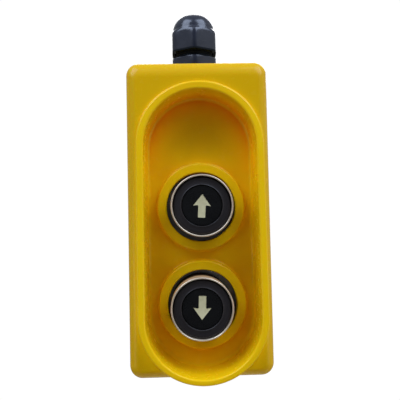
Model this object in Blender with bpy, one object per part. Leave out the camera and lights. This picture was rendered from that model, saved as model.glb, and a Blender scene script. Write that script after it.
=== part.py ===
"""Two-button hanging control station for a hoist.

Frame, in metres: +Z up along the cable gland's axis, the buttons face -Y,
+X is to the right of someone facing the buttons. The origin is the centre of
the gland's cap, where the control cable enters and by which the station hangs.
Sizes below are in millimetres and are turned into metres as meshes are made.
"""
import math

import bmesh
import bpy
from mathutils import Vector

MM = 0.001
GAP = 0.3                      # clearance between neighbouring pieces

# ---- enclosure -------------------------------------------------------------
FACE_Y = -40.1                 # flat front face of the housing
EDGE_Y = -34.1                 # where the rounding of the front edges ends
PART_Y = 15.8                  # parting plane, rear rim of the housing
BACK_Y = 23.4                  # outside of the back cover
HALF_W = 34.3                  # half width at EDGE_Y
TOP_Z = -35.5                  # top wall at EDGE_Y
BOTTOM_Z = -186.85             # bottom wall at EDGE_Y
TAPER_X = 0.03                 # draft: the sides spread towards the parting plane
TAPER_Z = 0.03                 # draft of the top and bottom
WALL = 3.0
EDGE_SIDE, EDGE_TOP, EDGE_BOTTOM = 5.0, 8.0, 4.5   # rounding of the front edges
CORNER_FRONT, CORNER_R = 6.0, 5.3     # corner radii at EDGE_Y and at the back

# ---- guard around the buttons ------------------------------------------------
GUARD_X = 0.85                 # the guard stands a little right of the gland's axis
GUARD_HALF_W = 30.37
GUARD_TOP, GUARD_BOTTOM = -46.0, -187.95
RIM_Y_TOP, RIM_Y_BOTTOM = -41.65, -48.65           # the rim leans forward at the bottom
RECESS_HALF_W, RECESS_TOP, RECESS_BOTTOM = 26.9, -49.8, -185.1
FLOOR_HALF_W, FLOOR_TOP, FLOOR_BOTTOM = 26.2, -50.6, -184.2
FLOOR_Y = -25.9
LIP = 1.2

# ---- buttons -----------------------------------------------------------------
BUTTON_X = 1.05                # axis of the collars' holes
OPERATOR_X = {"up": 1.1, "down": 0.3}              # the operators sit with some play in their holes
BUTTON_Z = {"up": -105.9, "down": -153.65}
COLLAR_Y = -30.6
COLLAR_R, COLLAR_BORE = 21.5, 16.85
BEZEL_R, BEZEL_BORE = 14.6, 13.8
BEZEL_FRONT = COLLAR_Y - 16.2
TRAVEL = 4.5                   # how far a button goes in
CAP_R = 13.5
DISC_R = 9.35
ARROW_H, ARROW_W, ARROW_HEAD, ARROW_SHAFT = 11.0, 8.35, 5.45, 3.45
ARROW_TILT = {"up": 5.0, "down": 2.5}              # degrees clockwise, seen from the front
ARROW_SHIFT = {"up": -0.15, "down": 0.45}          # up from the middle of the disc

# ---- inner plate -------------------------------------------------------------
PLATE_FRONT, PLATE_T = -17.6, 2.0
PLATE_HALF_W, PLATE_TOP, PLATE_BOTTOM = 25.5, -80.8, -175.3
PLATE_SCREWS = [(BUTTON_X + sx * 21.0, z) for sx in (-1, 1) for z in (-85.3, -171.3)]
COVER_SCREWS = [(sx * 26.3, z) for sx in (-1, 1) for z in (-43.6, -178.7)]
EARTH_Z = -129.55

# ---- gland, M20 with a 24 mm spanner size -----------------------------------
AF = 24.0
SEAT_Z = -30.7                 # flat seat on the housing's top
INNER_SEAT_Z = -37.8
FLANGE_BOTTOM, FLANGE_TOP = -29.1, -24.0
CAP_BOTTOM = -20.4
THREAD_R, THREAD_END = 9.9, -45.3
CABLE_R = 4.0

SEG = 48


def clear_scene():
    for o in list(bpy.data.objects):
        bpy.data.objects.remove(o, do_unlink=True)
    for m in list(bpy.data.meshes):
        bpy.data.meshes.remove(m)


def material(name, colour, rough, metal=0.0):
    m = bpy.data.materials.get(name)
    if m:
        return m
    m = bpy.data.materials.new(name)
    m.use_nodes = True
    b = m.node_tree.nodes["Principled BSDF"]
    b.inputs["Base Color"].default_value = (*colour, 1)
    b.inputs["Roughness"].default_value = rough
    b.inputs["Metallic"].default_value = metal
    m.diffuse_color = (*colour, 1)
    return m


YELLOW = ("yellow_plastic", (0.72, 0.44, 0.01), 0.38)
BLACK = ("black_plastic", (0.012, 0.012, 0.014), 0.3)
DISC = ("disc_plastic", (0.008, 0.008, 0.009), 0.25)
CREAM = ("arrow_inlay", (0.50, 0.50, 0.37), 0.5)
STEEL = ("plated_steel", (0.62, 0.62, 0.62), 0.3, 1.0)
BRIGHT = ("bezel_metal", (0.72, 0.68, 0.64), 0.2, 1.0)
BRASS = ("brass", (0.72, 0.52, 0.2), 0.3, 1.0)
NAVY = ("gland_nylon", (0.022, 0.026, 0.042), 0.35)
RUBBER = ("seal_rubber", (0.02, 0.02, 0.02), 0.8)
GREY = ("contact_plastic", (0.16, 0.17, 0.18), 0.5)
WHITE = ("plunger_plastic", (0.75, 0.75, 0.72), 0.45)
SPRING = ("spring_steel", (0.5, 0.5, 0.5), 0.3, 1.0)


def finish(bm, name, mat, smooth=True, cutter=False):
    bmesh.ops.recalc_face_normals(bm, faces=bm.faces[:])
    me = bpy.data.meshes.new(name)
    bm.to_mesh(me)
    bm.free()
    o = bpy.data.objects.new(name, me)
    bpy.context.scene.collection.objects.link(o)
    if mat:
        me.materials.append(material(*mat))
    if cutter:
        o.hide_render = True
        o.display_type = 'WIRE'
        o.hide_viewport = False
    elif smooth:
        me.shade_smooth()
        me.set_sharp_from_angle(angle=math.radians(32))
    return o


def loft(name, rings, mat=None, closed=False, smooth=True, cutter=False):
    """Joins equal rings of points, each to the next. Ends are capped, or joined if closed."""
    bm = bmesh.new()
    vs = [[bm.verts.new(Vector(p) * MM) for p in ring] for ring in rings]
    n = len(vs[0])
    pairs = list(zip(vs, vs[1:]))
    if closed:
        pairs.append((vs[-1], vs[0]))
    for a, b in pairs:
        for i in range(n):
            bm.faces.new((a[i], a[(i + 1) % n], b[(i + 1) % n], b[i]))
    if not closed:
        bm.faces.new(vs[0])
        bm.faces.new(list(reversed(vs[-1])))
    return finish(bm, name, mat, smooth, cutter)


def turned(name, profile, mat=None, axis="Y", centre=(0.0, 0.0), segs=SEG, cutter=False):
    """A closed (radius, height) outline spun about its axis. A radius of 0 is on the axis."""
    bm = bmesh.new()
    pts = []
    for r, h in profile:
        if axis == "Y":
            pts.append(bm.verts.new(Vector((centre[0] + r, h, centre[1])) * MM))
        else:
            pts.append(bm.verts.new(Vector((centre[0] + r, centre[1], h)) * MM))
    edges = [bm.edges.new((pts[i], pts[(i + 1) % len(pts)])) for i in range(len(pts))]
    if axis == "Y":
        cent, vec = Vector((centre[0], 0, centre[1])) * MM, Vector((0, 1, 0))
    else:
        cent, vec = Vector((centre[0], centre[1], 0)) * MM, Vector((0, 0, 1))
    bmesh.ops.spin(bm, geom=pts + edges, cent=cent, axis=vec, angle=2 * math.pi,
                   steps=segs, use_merge=True, use_duplicate=False)
    bmesh.ops.remove_doubles(bm, verts=bm.verts[:], dist=1e-6)
    bmesh.ops.dissolve_degenerate(bm, edges=bm.edges[:], dist=1e-7)
    loose = [e for e in bm.edges if not e.link_faces]
    bmesh.ops.delete(bm, geom=loose, context='EDGES')
    return finish(bm, name, mat, True, cutter)


def hexagon(af, limit, theta):
    """Radius of a hexagon with corners on the Y axis, not past the limit."""
    a = (theta + math.pi / 2) % (math.pi / 3) - math.pi / 6
    return min(af / 2 / math.cos(a), limit)


def polar(name, outline, mat, segs=SEG, axis="Z", centre=(0.0, 0.0)):
    """A closed outline of (radius or hexagon limit, height) about the axis; ('hex', limit) marks hexagonal rings."""
    rings = []
    for r, h in outline:
        ring = []
        for i in range(segs):
            t = 2 * math.pi * i / segs
            rad = hexagon(AF, r[1], t) if isinstance(r, tuple) else r
            if axis == "Z":
                ring.append((centre[0] + rad * math.cos(t), centre[1] + rad * math.sin(t), h))
            else:
                ring.append((centre[0] + rad * math.cos(t), h, centre[1] + rad * math.sin(t)))
        rings.append(ring)
    return loft(name, rings, mat, closed=True)


def box(name, x0, x1, y0, y1, z0, z1, mat=None, cutter=False):
    return loft(name, [[(x0, y, z0), (x1, y, z0), (x1, y, z1), (x0, y, z1)] for y in (y0, y1)],
                mat, cutter=cutter, smooth=False)


def rounded_rect(w, zt, zb, r, y, n=4, x=0.0):
    pts = []
    for cx, cz, a0 in ((w - r, zt - r, 0), (-w + r, zt - r, 90), (-w + r, zb + r, 180), (w - r, zb + r, 270)):
        for k in range(n + 1):
            a = math.radians(a0 + 90 * k / n)
            pts.append((x + cx + r * math.cos(a), y, cz + r * math.sin(a)))
    return pts


def stadium(w, zt, zb, y, n=18):
    """Outline with round ends about GUARD_X. y is a number or a function of z."""
    pts = []
    for cz, a0 in ((zt - w, 0), (zb + w, 180)):
        for k in range(n + 1):
            a = math.radians(a0 + 180 * k / n)
            x, z = GUARD_X + w * math.cos(a), cz + w * math.sin(a)
            pts.append((x, y(z) if callable(y) else y, z))
    return pts


def cut(target, cutter, op="DIFFERENCE"):
    m = target.modifiers.new(op.lower() + "_" + cutter.name, 'BOOLEAN')
    m.operation = op
    m.solver = 'EXACT'
    m.object = cutter


def baked(o, *cutters):
    """Keeps the evaluated mesh and drops the modifiers and their cutters."""
    dg = bpy.context.evaluated_depsgraph_get()
    me = bpy.data.meshes.new_from_object(o.evaluated_get(dg))
    o.modifiers.clear()
    o.data = me
    for c in cutters:
        bpy.data.objects.remove(c, do_unlink=True)
    return o


def copies(first, names_and_shifts):
    """Repeats a piece: each copy is its own object and shares the first one's mesh."""
    for name, shift in names_and_shifts:
        o = bpy.data.objects.new(name, first.data)
        bpy.context.scene.collection.objects.link(o)
        o.location = Vector(shift) * MM


def set_origin(o, point):
    """Moves the object's origin to a point, its mesh staying where it is."""
    p = Vector(point) * MM
    for v in o.data.vertices:
        v.co -= p
    o.location = p


def half_width(y):
    return HALF_W + (y - EDGE_Y) * TAPER_X


def top_z(y):
    return TOP_Z + (y - EDGE_Y) * TAPER_Z


def bottom_z(y):
    return BOTTOM_Z - (y - EDGE_Y) * TAPER_Z


def rim_y(z):
    return RIM_Y_TOP + (RIM_Y_BOTTOM - RIM_Y_TOP) * (GUARD_TOP - z) / (GUARD_TOP - GUARD_BOTTOM)


# ---- enclosure -------------------------------------------------------------

def housing():
    rings = []
    steps = 5
    for k in range(steps + 1):
        t = math.pi / 2 * k / steps
        inset = 1 - math.sin(t)
        rings.append(rounded_rect(HALF_W - EDGE_SIDE * inset, TOP_Z - EDGE_TOP * inset,
                                  BOTTOM_Z + EDGE_BOTTOM * inset, 2.0 + (CORNER_FRONT - 2.0) * math.sin(t),
                                  EDGE_Y + (FACE_Y - EDGE_Y) * math.cos(t)))
    rings.append(rounded_rect(half_width(PART_Y), top_z(PART_Y), bottom_z(PART_Y), CORNER_R, PART_Y))
    body = loft("front_housing", rings, YELLOW)

    def guard_ring(inset, depth):
        return stadium(GUARD_HALF_W - inset, GUARD_TOP - inset, GUARD_BOTTOM + inset, lambda z: rim_y(z) + depth)
    guard = loft("guard_form", [guard_ring(LIP, 0.0), guard_ring(0.35, 0.35), guard_ring(0.0, LIP),
                                stadium(GUARD_HALF_W - 1.2, GUARD_TOP - 1.2, GUARD_BOTTOM + 1.2, -14.0)], cutter=True)
    cut(body, guard, "UNION")

    def recess_ring(grow, depth):
        return stadium(RECESS_HALF_W + grow, RECESS_TOP + grow, RECESS_BOTTOM - grow, lambda z: rim_y(z) + depth)
    recess = loft("recess_form", [recess_ring(LIP, -6.0), recess_ring(LIP, 0.0), recess_ring(0.35, 0.35),
                                  recess_ring(0.0, LIP),
                                  stadium(FLOOR_HALF_W, FLOOR_TOP, FLOOR_BOTTOM, FLOOR_Y)], cutter=True)
    cut(body, recess)
    for key, z in BUTTON_Z.items():
        collar = turned(key + "_collar_form", [(0, COLLAR_Y), (COLLAR_R - 0.5, COLLAR_Y), (COLLAR_R, COLLAR_Y + 0.5),
                                               (COLLAR_R + 0.15, FLOOR_Y + 1.0), (0, FLOOR_Y + 1.0)],
                        centre=(BUTTON_X, z), cutter=True, segs=44)
        cut(body, collar, "UNION")

    # the hollow: the inside of the walls, less the block behind the guard
    hollow_rings = [rounded_rect(half_width(EDGE_Y) - WALL - 1.5, TOP_Z - WALL - 3.0, BOTTOM_Z + WALL + 1.0, 3.0, FACE_Y + WALL),
                    rounded_rect(half_width(EDGE_Y) - WALL, TOP_Z - WALL, BOTTOM_Z + WALL, 3.5, EDGE_Y)]
    end = PART_Y + 4
    hollow_rings.append(rounded_rect(half_width(end) - WALL, top_z(end) - WALL, bottom_z(end) + WALL, 3.5, end))
    hollow = loft("hollow_form", hollow_rings, cutter=True)
    keep = loft("guard_block_form", [stadium(33.6, GUARD_TOP + 3.2, GUARD_BOTTOM - 3.2, y) for y in (-60.0, FLOOR_Y + WALL)],
                cutter=True)
    cut(hollow, keep)
    cut(body, hollow)

    for i, (x, z) in enumerate(COVER_SCREWS):
        cut(body, turned("column_form_%d" % i, [(0, -38.0), (4.2, -38.0), (4.2, PART_Y), (0, PART_Y)],
                         centre=(x, z), segs=12, cutter=True), "UNION")
        x0, x1 = sorted((x, math.copysign(HALF_W - 1.5, x)))     # a rib to the side wall
        cut(body, box("rib_form_%d" % i, x0, x1, -35.0, 12.0, z - 0.9, z + 0.9, cutter=True), "UNION")
    for i, (x, z) in enumerate(PLATE_SCREWS):
        cut(body, turned("pillar_form_%d" % i, [(0, FLOOR_Y + 1.5), (3.3, FLOOR_Y + 1.5), (3.3, PLATE_FRONT - GAP), (0, PLATE_FRONT - GAP)],
                         centre=(x, z), segs=12, cutter=True), "UNION")
    seat = turned("seat_form", [(0, INNER_SEAT_Z), (13.3, INNER_SEAT_Z), (13.3, SEAT_Z - 0.4), (12.9, SEAT_Z), (0, SEAT_Z)],
                  axis="Z", cutter=True, segs=32)
    cut(body, seat, "UNION")

    for key, z in BUTTON_Z.items():
        cut(body, turned(key + "_bore_form", [(0, COLLAR_Y - 4), (COLLAR_BORE + 0.35, COLLAR_Y - 4), (COLLAR_BORE + 0.35, COLLAR_Y),
                                              (COLLAR_BORE, COLLAR_Y + 0.35), (COLLAR_BORE, FLOOR_Y + 6), (0, FLOOR_Y + 6)],
                         centre=(BUTTON_X, z), segs=44, cutter=True))
    for i, (x, z) in enumerate(COVER_SCREWS):
        cut(body, turned("column_hole_%d" % i, [(0, 0.0), (1.8, 0.0), (1.8, PART_Y + 2), (0, PART_Y + 2)],
                         centre=(x, z), segs=8, cutter=True))
    for i, (x, z) in enumerate(PLATE_SCREWS):
        cut(body, turned("pillar_hole_%d" % i, [(0, FLOOR_Y + 1.6), (1.6, FLOOR_Y + 1.6), (1.6, PLATE_FRONT + 2), (0, PLATE_FRONT + 2)],
                         centre=(x, z), segs=8, cutter=True))
    cut(body, turned("gland_hole", [(0, -60.0), (THREAD_R + 0.35, -60.0), (THREAD_R + 0.35, -20.0), (0, -20.0)],
                     axis="Z", cutter=True, segs=28))
    return body


def back_cover():
    y0 = PART_Y + 1.6                      # front edge, on the gasket
    w, zt, zb = half_width(PART_Y), top_z(PART_Y), bottom_z(PART_Y)
    rings = [rounded_rect(w, zt, zb, CORNER_R, y0)]
    for k in range(4):
        t = math.pi / 2 * k / 3
        s = 1 - math.cos(t)
        rings.append(rounded_rect(w - 0.3 - 3.2 * s, zt - 0.3 - 3.2 * s, zb + 0.3 + 3.2 * s, CORNER_R - 2.6 * s,
                                  BACK_Y - 3.6 + 3.6 * math.sin(t)))
    inner = BACK_Y - 2.8
    cover = loft("back_cover", rings, YELLOW)
    pocket = loft("cover_pocket", [rounded_rect(w - WALL, zt - WALL, zb + WALL, 3.5, y) for y in (y0 - 3, inner)], cutter=True)
    cut(cover, pocket)
    lip_w = WALL + GAP + 0.1
    lip = loft("cover_lip", [rounded_rect(w - lip_w, zt - lip_w, zb + lip_w, 3.2, y) for y in (14.0, inner + 1.0)], cutter=True)
    lip_in = loft("cover_lip_inside", [rounded_rect(w - lip_w - 1.6, zt - lip_w - 1.6, zb + lip_w + 1.6, 2.0, y) for y in (10.0, inner)],
                  cutter=True)
    cut(lip, lip_in)
    cut(cover, lip, "UNION")
    for i, (x, z) in enumerate(COVER_SCREWS):
        cut(cover, turned("cover_post_%d" % i, [(0, PART_Y + GAP), (4.2, PART_Y + GAP), (4.2, inner + 1), (0, inner + 1)],
                          centre=(x, z), segs=12, cutter=True), "UNION")
    for i, (x, z) in enumerate(COVER_SCREWS):
        cut(cover, turned("cover_hole_%d" % i, [(0, 5.0), (2.1, 5.0), (2.1, BACK_Y - 2.7), (3.9, BACK_Y - 2.7), (3.9, BACK_Y + 3), (0, BACK_Y + 3)],
                          centre=(x, z), segs=14, cutter=True))
    return cover


def gasket():
    w, zt, zb = half_width(PART_Y), top_z(PART_Y), bottom_z(PART_Y)
    rings = []
    for inset, y in ((0.7, PART_Y + GAP), (0.7, PART_Y + GAP + 1.0), (2.6, PART_Y + GAP + 1.0), (2.6, PART_Y + GAP)):
        rings.append(rounded_rect(w - inset, zt - inset, zb + inset, CORNER_R - inset, y))
    return loft("cover_gasket", rings, RUBBER, closed=True)


def cross_screw(x, z, head_y, shaft_end, shaft_r, head_r, head_h, mat, direction=1, segs=12):
    """A round-headed screw along Y with a cross recess; direction +1 has its head at the back."""
    d = direction
    s = turned("screw", [(0, shaft_end), (shaft_r * 0.55, shaft_end), (shaft_r, shaft_end + d * 1.0), (shaft_r, head_y),
                         (head_r, head_y), (head_r, head_y + d * head_h * 0.6), (head_r * 0.72, head_y + d * head_h), (0, head_y + d * head_h)],
               mat, centre=(x, z), segs=segs)
    a, b = 0.32 * head_r * 0.5, head_r * 0.62
    y0, y1 = head_y + d * head_h * 0.45, head_y + d * (head_h + 1)
    plus = [(a, a), (a, b), (-a, b), (-a, a), (-b, a), (-b, -a), (-a, -a), (-a, -b), (a, -b), (a, -a), (b, -a), (b, a)]
    c = loft("cross", [[(x + px, y, z + pz) for px, pz in plus] for y in (min(y0, y1), max(y0, y1))], cutter=True)
    cut(s, c)
    return baked(s, c)


def screws(names, places, *args, **kw):
    x0, z0 = places[0]
    first = cross_screw(x0, z0, *args, **kw)
    first.name = names[0]
    copies(first, [(n, (x - x0, 0, z - z0)) for n, (x, z) in zip(names[1:], places[1:])])


def mounting_plate():
    y0, y1 = PLATE_FRONT, PLATE_FRONT + PLATE_T
    plate = loft("mounting_plate", [rounded_rect(PLATE_HALF_W, PLATE_TOP, PLATE_BOTTOM, 4.0, y, x=BUTTON_X) for y in (y0, y1)], STEEL)
    holes = [(OPERATOR_X[key], z, 11.24, 26) for key, z in BUTTON_Z.items()]
    holes += [(x, z, 1.7, 8) for x, z in PLATE_SCREWS] + [(BUTTON_X, EARTH_Z, 2.2, 10)]
    for i, (x, z, r, n) in enumerate(holes):
        cut(plate, turned("plate_hole_%d" % i, [(0, y0 - 3), (r, y0 - 3), (r, y1 + 3), (0, y1 + 3)], centre=(x, z), segs=n, cutter=True))
    return plate


# ---- one button and its contact block ----------------------------------------

def arrow_points(direction, grow=0.0):
    """Outline of the arrow about its own middle, pushed outwards by grow."""
    h, w, a, s = ARROW_H / 2, ARROW_W / 2, ARROW_HEAD, ARROW_SHAFT / 2
    pts = [(0, h), (-w, h - a), (-s, h - a), (-s, -h), (s, -h), (s, h - a), (w, h - a)]
    pts = [(x, z * direction) for x, z in pts]
    if direction < 0:
        pts.reverse()
    if not grow:
        return pts
    out = []
    n = len(pts)
    for i in range(n):
        p0, p1, p2 = Vector(pts[i - 1]), Vector(pts[i]), Vector(pts[(i + 1) % n])
        d1, d2 = (p1 - p0).normalized(), (p2 - p1).normalized()
        n1, n2 = Vector((d1.y, -d1.x)), Vector((d2.y, -d2.x))
        m = (n1 + n2).normalized()
        k = grow / max(m.dot(n1), 0.35)
        out.append(tuple(p1 + m * k))
    return out


def arrow_ring(key, direction, y, grow=0.0):
    """The arrow's outline in its place on the button, a little turned as it was fitted."""
    a = math.radians(ARROW_TILT[key])
    x, z = OPERATOR_X[key], BUTTON_Z[key] + ARROW_SHIFT[key]
    return [(x + px * math.cos(a) + pz * math.sin(a), y, z - px * math.sin(a) + pz * math.cos(a)) for px, pz in arrow_points(direction, grow)]


def coil(name, r, wire, y0, y1, turns, x, z, sides=4, per_turn=10):
    """A compression spring along Y on a button's axis, its ends closed."""
    steps = int(turns * per_turn)
    rings = []
    for k in range(steps + 1):
        t = 2 * math.pi * turns * k / steps
        f = k / steps
        y = y0 + wire + (y1 - y0 - 2 * wire) * f
        radial = Vector((math.cos(t), 0, math.sin(t)))
        c = radial * r + Vector((x, y, z))
        rings.append([tuple(c + radial * wire * math.cos(2 * math.pi * s / sides)
                            + Vector((0, 1, 0)) * wire * math.sin(2 * math.pi * s / sides)) for s in range(sides)])
    return loft(name, rings, SPRING)


def tag_of(key, side):
    return "%s_%s" % (key, "lower" if side < 0 else "upper")


def button(key, direction):
    x = OPERATOR_X[key]
    z = BUTTON_Z[key]
    c = (x, z)
    f = BEZEL_FRONT
    rear = PLATE_FRONT - GAP - 0.5 - GAP           # back of the bezel, on the panel gasket
    turned(key + "_bezel", [(BEZEL_BORE, rear), (BEZEL_R, rear), (BEZEL_R, f + 0.8), (BEZEL_R - 0.2, f + 0.25), (BEZEL_R - 0.4, f),
                            (BEZEL_BORE + 0.15, f + 0.1), (BEZEL_BORE, f + 0.5)], BRIGHT, centre=c, segs=44)
    turned(key + "_panel_gasket", [(11.25, PLATE_FRONT - GAP - 0.5), (14.6, PLATE_FRONT - GAP - 0.5), (14.6, PLATE_FRONT - GAP), (11.25, PLATE_FRONT - GAP)],
           RUBBER, centre=c, segs=24)
    # fixed operator body with the sliding bore for the plunger
    front = -25.0
    turned(key + "_operator_body", [(6.0, front), (13.4, front), (13.4, rear), (10.9, rear), (10.9, -8.0), (6.0, -8.0),
                                    (6.0, -15.8), (8.0, -15.8), (8.0, -18.2), (6.0, -18.2)], BLACK, centre=c, segs=24)
    turned(key + "_stem_seal", [(5.9, -17.0), (6.4, -17.9), (7.2, -17.9), (7.7, -17.0), (7.2, -16.1), (6.4, -16.1)],
           RUBBER, centre=c, segs=18)
    nut = polar(key + "_ring_nut", [(11.2, PLATE_FRONT + PLATE_T + GAP), (14.2, PLATE_FRONT + PLATE_T + GAP), (14.2, -12.2), (11.2, -12.2)],
                STEEL, segs=24, axis="Y", centre=c)
    slots = []
    for k in range(4):
        a = math.pi / 4 + math.pi / 2 * k
        u, v = Vector((math.cos(a), math.sin(a))), Vector((-math.sin(a), math.cos(a)))
        pts = [u * 12.9 + v * 1.5, u * 16 + v * 1.5, u * 16 - v * 1.5, u * 12.9 - v * 1.5]
        slots.append(loft("%s_nut_slot_%d" % (key, k), [[(x + p.x, y, z + p.y) for p in pts] for y in (-18.0, -8.0)], cutter=True))
    for s in slots:
        cut(nut, s)

    # moving group: cap, marking disc, arrow, plunger, contact slider and bridge
    cap = turned(key + "_cap", [(0, f + 2.7), (DISC_R + 0.3, f + 2.7), (DISC_R + 0.3, f + 1.6), (DISC_R + 0.55, f + 1.35), (11.0, f + 1.3), (12.2, f + 1.5),
                                (13.1, f + 2.05), (CAP_R, f + 2.9), (CAP_R, f + 11.0), (11.7, f + 11.0), (11.7, f + 4.2), (0, f + 4.2)],
                 BLACK, centre=c, segs=36)
    disc = turned(key + "_disc", [(0, f + 1.6), (DISC_R - 0.2, f + 1.6), (DISC_R, f + 1.8), (DISC_R, f + 2.4), (0, f + 2.4)], DISC, centre=c, segs=32)
    cut(disc, loft(key + "_arrow_pocket", [arrow_ring(key, direction, y, 0.3) for y in (f - 2, f + 6)], cutter=True))
    arrow = loft(key + "_arrow", [arrow_ring(key, direction, y) for y in (f + 1.65, f + 2.4)], CREAM, smooth=False)
    plunger = turned(key + "_plunger", [(0, f + 4.5), (8.8, f + 4.5), (8.8, f + 6.0), (5.6, f + 6.0), (5.6, -13.2), (2.3, -13.2), (2.3, -9.0), (0, -9.0)],
                     WHITE, centre=c, segs=16)
    coil(key + "_return_spring", 7.3, 0.55, f + 6.0 + GAP, front - GAP, 4.0, x, z)

    # contact block: open on its right side, its bridge carried by the slider
    blk = box(key + "_contact_block", x - 9, x + 9, -7.7, 14.0, z - 17, z + 17, GREY)
    cut(blk, box(key + "_block_hollow", x - 7.5, x + 12, -4.7, 11.0, z - 11, z + 11, cutter=True))
    cut(blk, box(key + "_block_mouth", x - 3.3, x + 3.3, -10, 0, z - 2.8, z + 2.8, cutter=True))
    for s in (-1, 1):
        tag = tag_of(key, s)
        lo, hi = sorted((z + s * 8.9, z + s * 10.7))
        cut(blk, box(tag + "_leg_slot", x - 3.4, x + 3.4, 8, 17, lo, hi, cutter=True))
        cut(blk, turned(tag + "_screw_hole", [(0, 7.0), (1.75, 7.0), (1.75, 17), (0, 17)], centre=(x, z + s * 13.4), segs=10, cutter=True))
    slider = box(key + "_contact_slider", x - 3, x + 3, -8.7, 0.6, z - 2.5, z + 2.5, WHITE)
    cut(slider, box(key + "_slider_window", x - 2.0, x + 2.0, -3.3, -1.7, z - 6, z + 6, cutter=True))
    bridge = box(key + "_contact_bridge", x - 1.7, x + 1.7, -3.0, -2.0, z - 8.0, z + 8.0, BRASS)
    coil(key + "_contact_spring", 1.7, 0.35, 0.9, 10.7, 4.0, x, z, per_turn=8)
    pins = []
    for s in (-1, 1):
        outline = [(5.5, 2.8), (10.3, 2.8), (10.3, 14.3), (16.4, 14.3), (16.4, 15.3), (9.3, 15.3), (9.3, 3.8), (5.5, 3.8)]
        st = loft(tag_of(key, s) + "_terminal", [[(x + sx, py, z + s * pz) for pz, py in outline] for sx in (-3.0, 3.0)], BRASS, smooth=False)
        hole = turned("strip_hole", [(0, 13.0), (1.75, 13.0), (1.75, 17), (0, 17)], centre=(x, z + s * 13.4), segs=10, cutter=True)
        cut(st, hole)
        baked(st, hole)
        pins.append((x, z + s * 13.4))
    screws([key + "_lower_terminal_screw", key + "_upper_terminal_screw"], pins, 15.6, 8.0, 1.4, 2.7, 1.8, STEEL, segs=10)
    axis = (x, f, z)
    for o in (cap, disc, arrow, plunger, slider, bridge):
        set_origin(o, axis)


# ---- gland ---------------------------------------------------------------------

def gland():
    polar("gland_body", [(("hex", 13.2), FLANGE_BOTTOM), (("hex", 13.7), FLANGE_BOTTOM + 0.5), (("hex", 13.7), FLANGE_TOP - 0.5), (("hex", 13.1), FLANGE_TOP),
                         (10.2, FLANGE_TOP), (10.2, -13.4), (9.9, -13.0), (8.9, -13.0), (8.9, -25.3), (7.6, -26.8), (7.6, THREAD_END), (9.5, THREAD_END),
                         (THREAD_R, THREAD_END + 0.5), (THREAD_R, FLANGE_BOTTOM)], NAVY, segs=36)
    polar("gland_washer", [(10.3, -29.4), (13.0, -29.4), (13.0, -30.4), (10.3, -30.4)], RUBBER, segs=24)
    polar("gland_locknut", [(10.25, -38.1), (("hex", 13.2), -38.1), (("hex", 13.7), -38.6), (("hex", 13.7), -42.0), (("hex", 13.2), -42.5), (10.25, -42.5)], NAVY, segs=24)
    claw = turned("gland_claw", [(7.2, -22.8), (8.6, -22.8), (8.6, -12.3), (8.3, -7.0), (7.2, -7.0)], NAVY, axis="Z", segs=24)
    for k in range(3):
        a = math.pi * k / 3 + math.radians(15)
        u, v = Vector((math.cos(a), math.sin(a))), Vector((-math.sin(a), math.cos(a)))
        pts = [u * 12 + v * 0.7, -u * 12 + v * 0.7, -u * 12 - v * 0.7, u * 12 - v * 0.7]
        cut(claw, loft("claw_slot_%d" % k, [[(p.x, p.y, h) for p in pts] for h in (-14.8, 2.0)], cutter=True))
    turned("gland_seal", [(CABLE_R, -20.3), (6.8, -20.3), (6.8, -8.2), (6.2, -7.4), (CABLE_R + 0.6, -7.4), (CABLE_R, -8.4)], RUBBER, axis="Z", segs=24)
    polar("gland_cap", [(("hex", 12.6), CAP_BOTTOM), (("hex", 13.7), CAP_BOTTOM + 1.3), (("hex", 13.7), -9.4), (("hex", 12.4), -8.2), (11.53, -7.6),
                        (11.4, -6.2), (10.93, -4.55), (10.2, -3.05), (9.35, -1.8), (8.35, -0.82), (7.4, -0.2), (6.7, 0.0), (6.1, -0.6), (6.1, -2.4), (9.1, -6.0), (10.6, -9.8),
                        (10.6, CAP_BOTTOM)], NAVY, segs=36)


def main():
    clear_scene()
    housing()
    back_cover()
    gasket()
    screws(["cover_screw_%d" % i for i in (1, 2, 3, 4)], COVER_SCREWS, BACK_Y - 2.4, 2.5, 1.5, 3.3, 2.1, STEEL)
    mounting_plate()
    screws(["plate_screw_%d" % i for i in (1, 2, 3, 4)], PLATE_SCREWS, PLATE_FRONT + PLATE_T + GAP, -23.8, 1.3, 2.7, 1.9, STEEL, segs=10)
    turned("earth_screw", [(0, -20.3), (3.4, -20.3), (3.4, PLATE_FRONT - GAP), (1.9, PLATE_FRONT - GAP), (1.9, -8.0), (0, -8.0)], BRASS, centre=(BUTTON_X, EARTH_Z), segs=16)
    turned("earth_nut", [(2.2, -15.3), (3.9, -15.3), (3.9, -12.3), (2.2, -12.3)], BRASS, centre=(BUTTON_X, EARTH_Z), segs=6)
    button("up", 1)
    button("down", -1)
    gland()


main()
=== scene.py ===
"""Looks of the two-button hanging control station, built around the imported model.

Frame: metres, +Z up along the cable gland, the buttons face -Y, origin at the centre of the gland's cap.
Lengths in the making of shapes are in millimetres.
"""

import math

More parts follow.
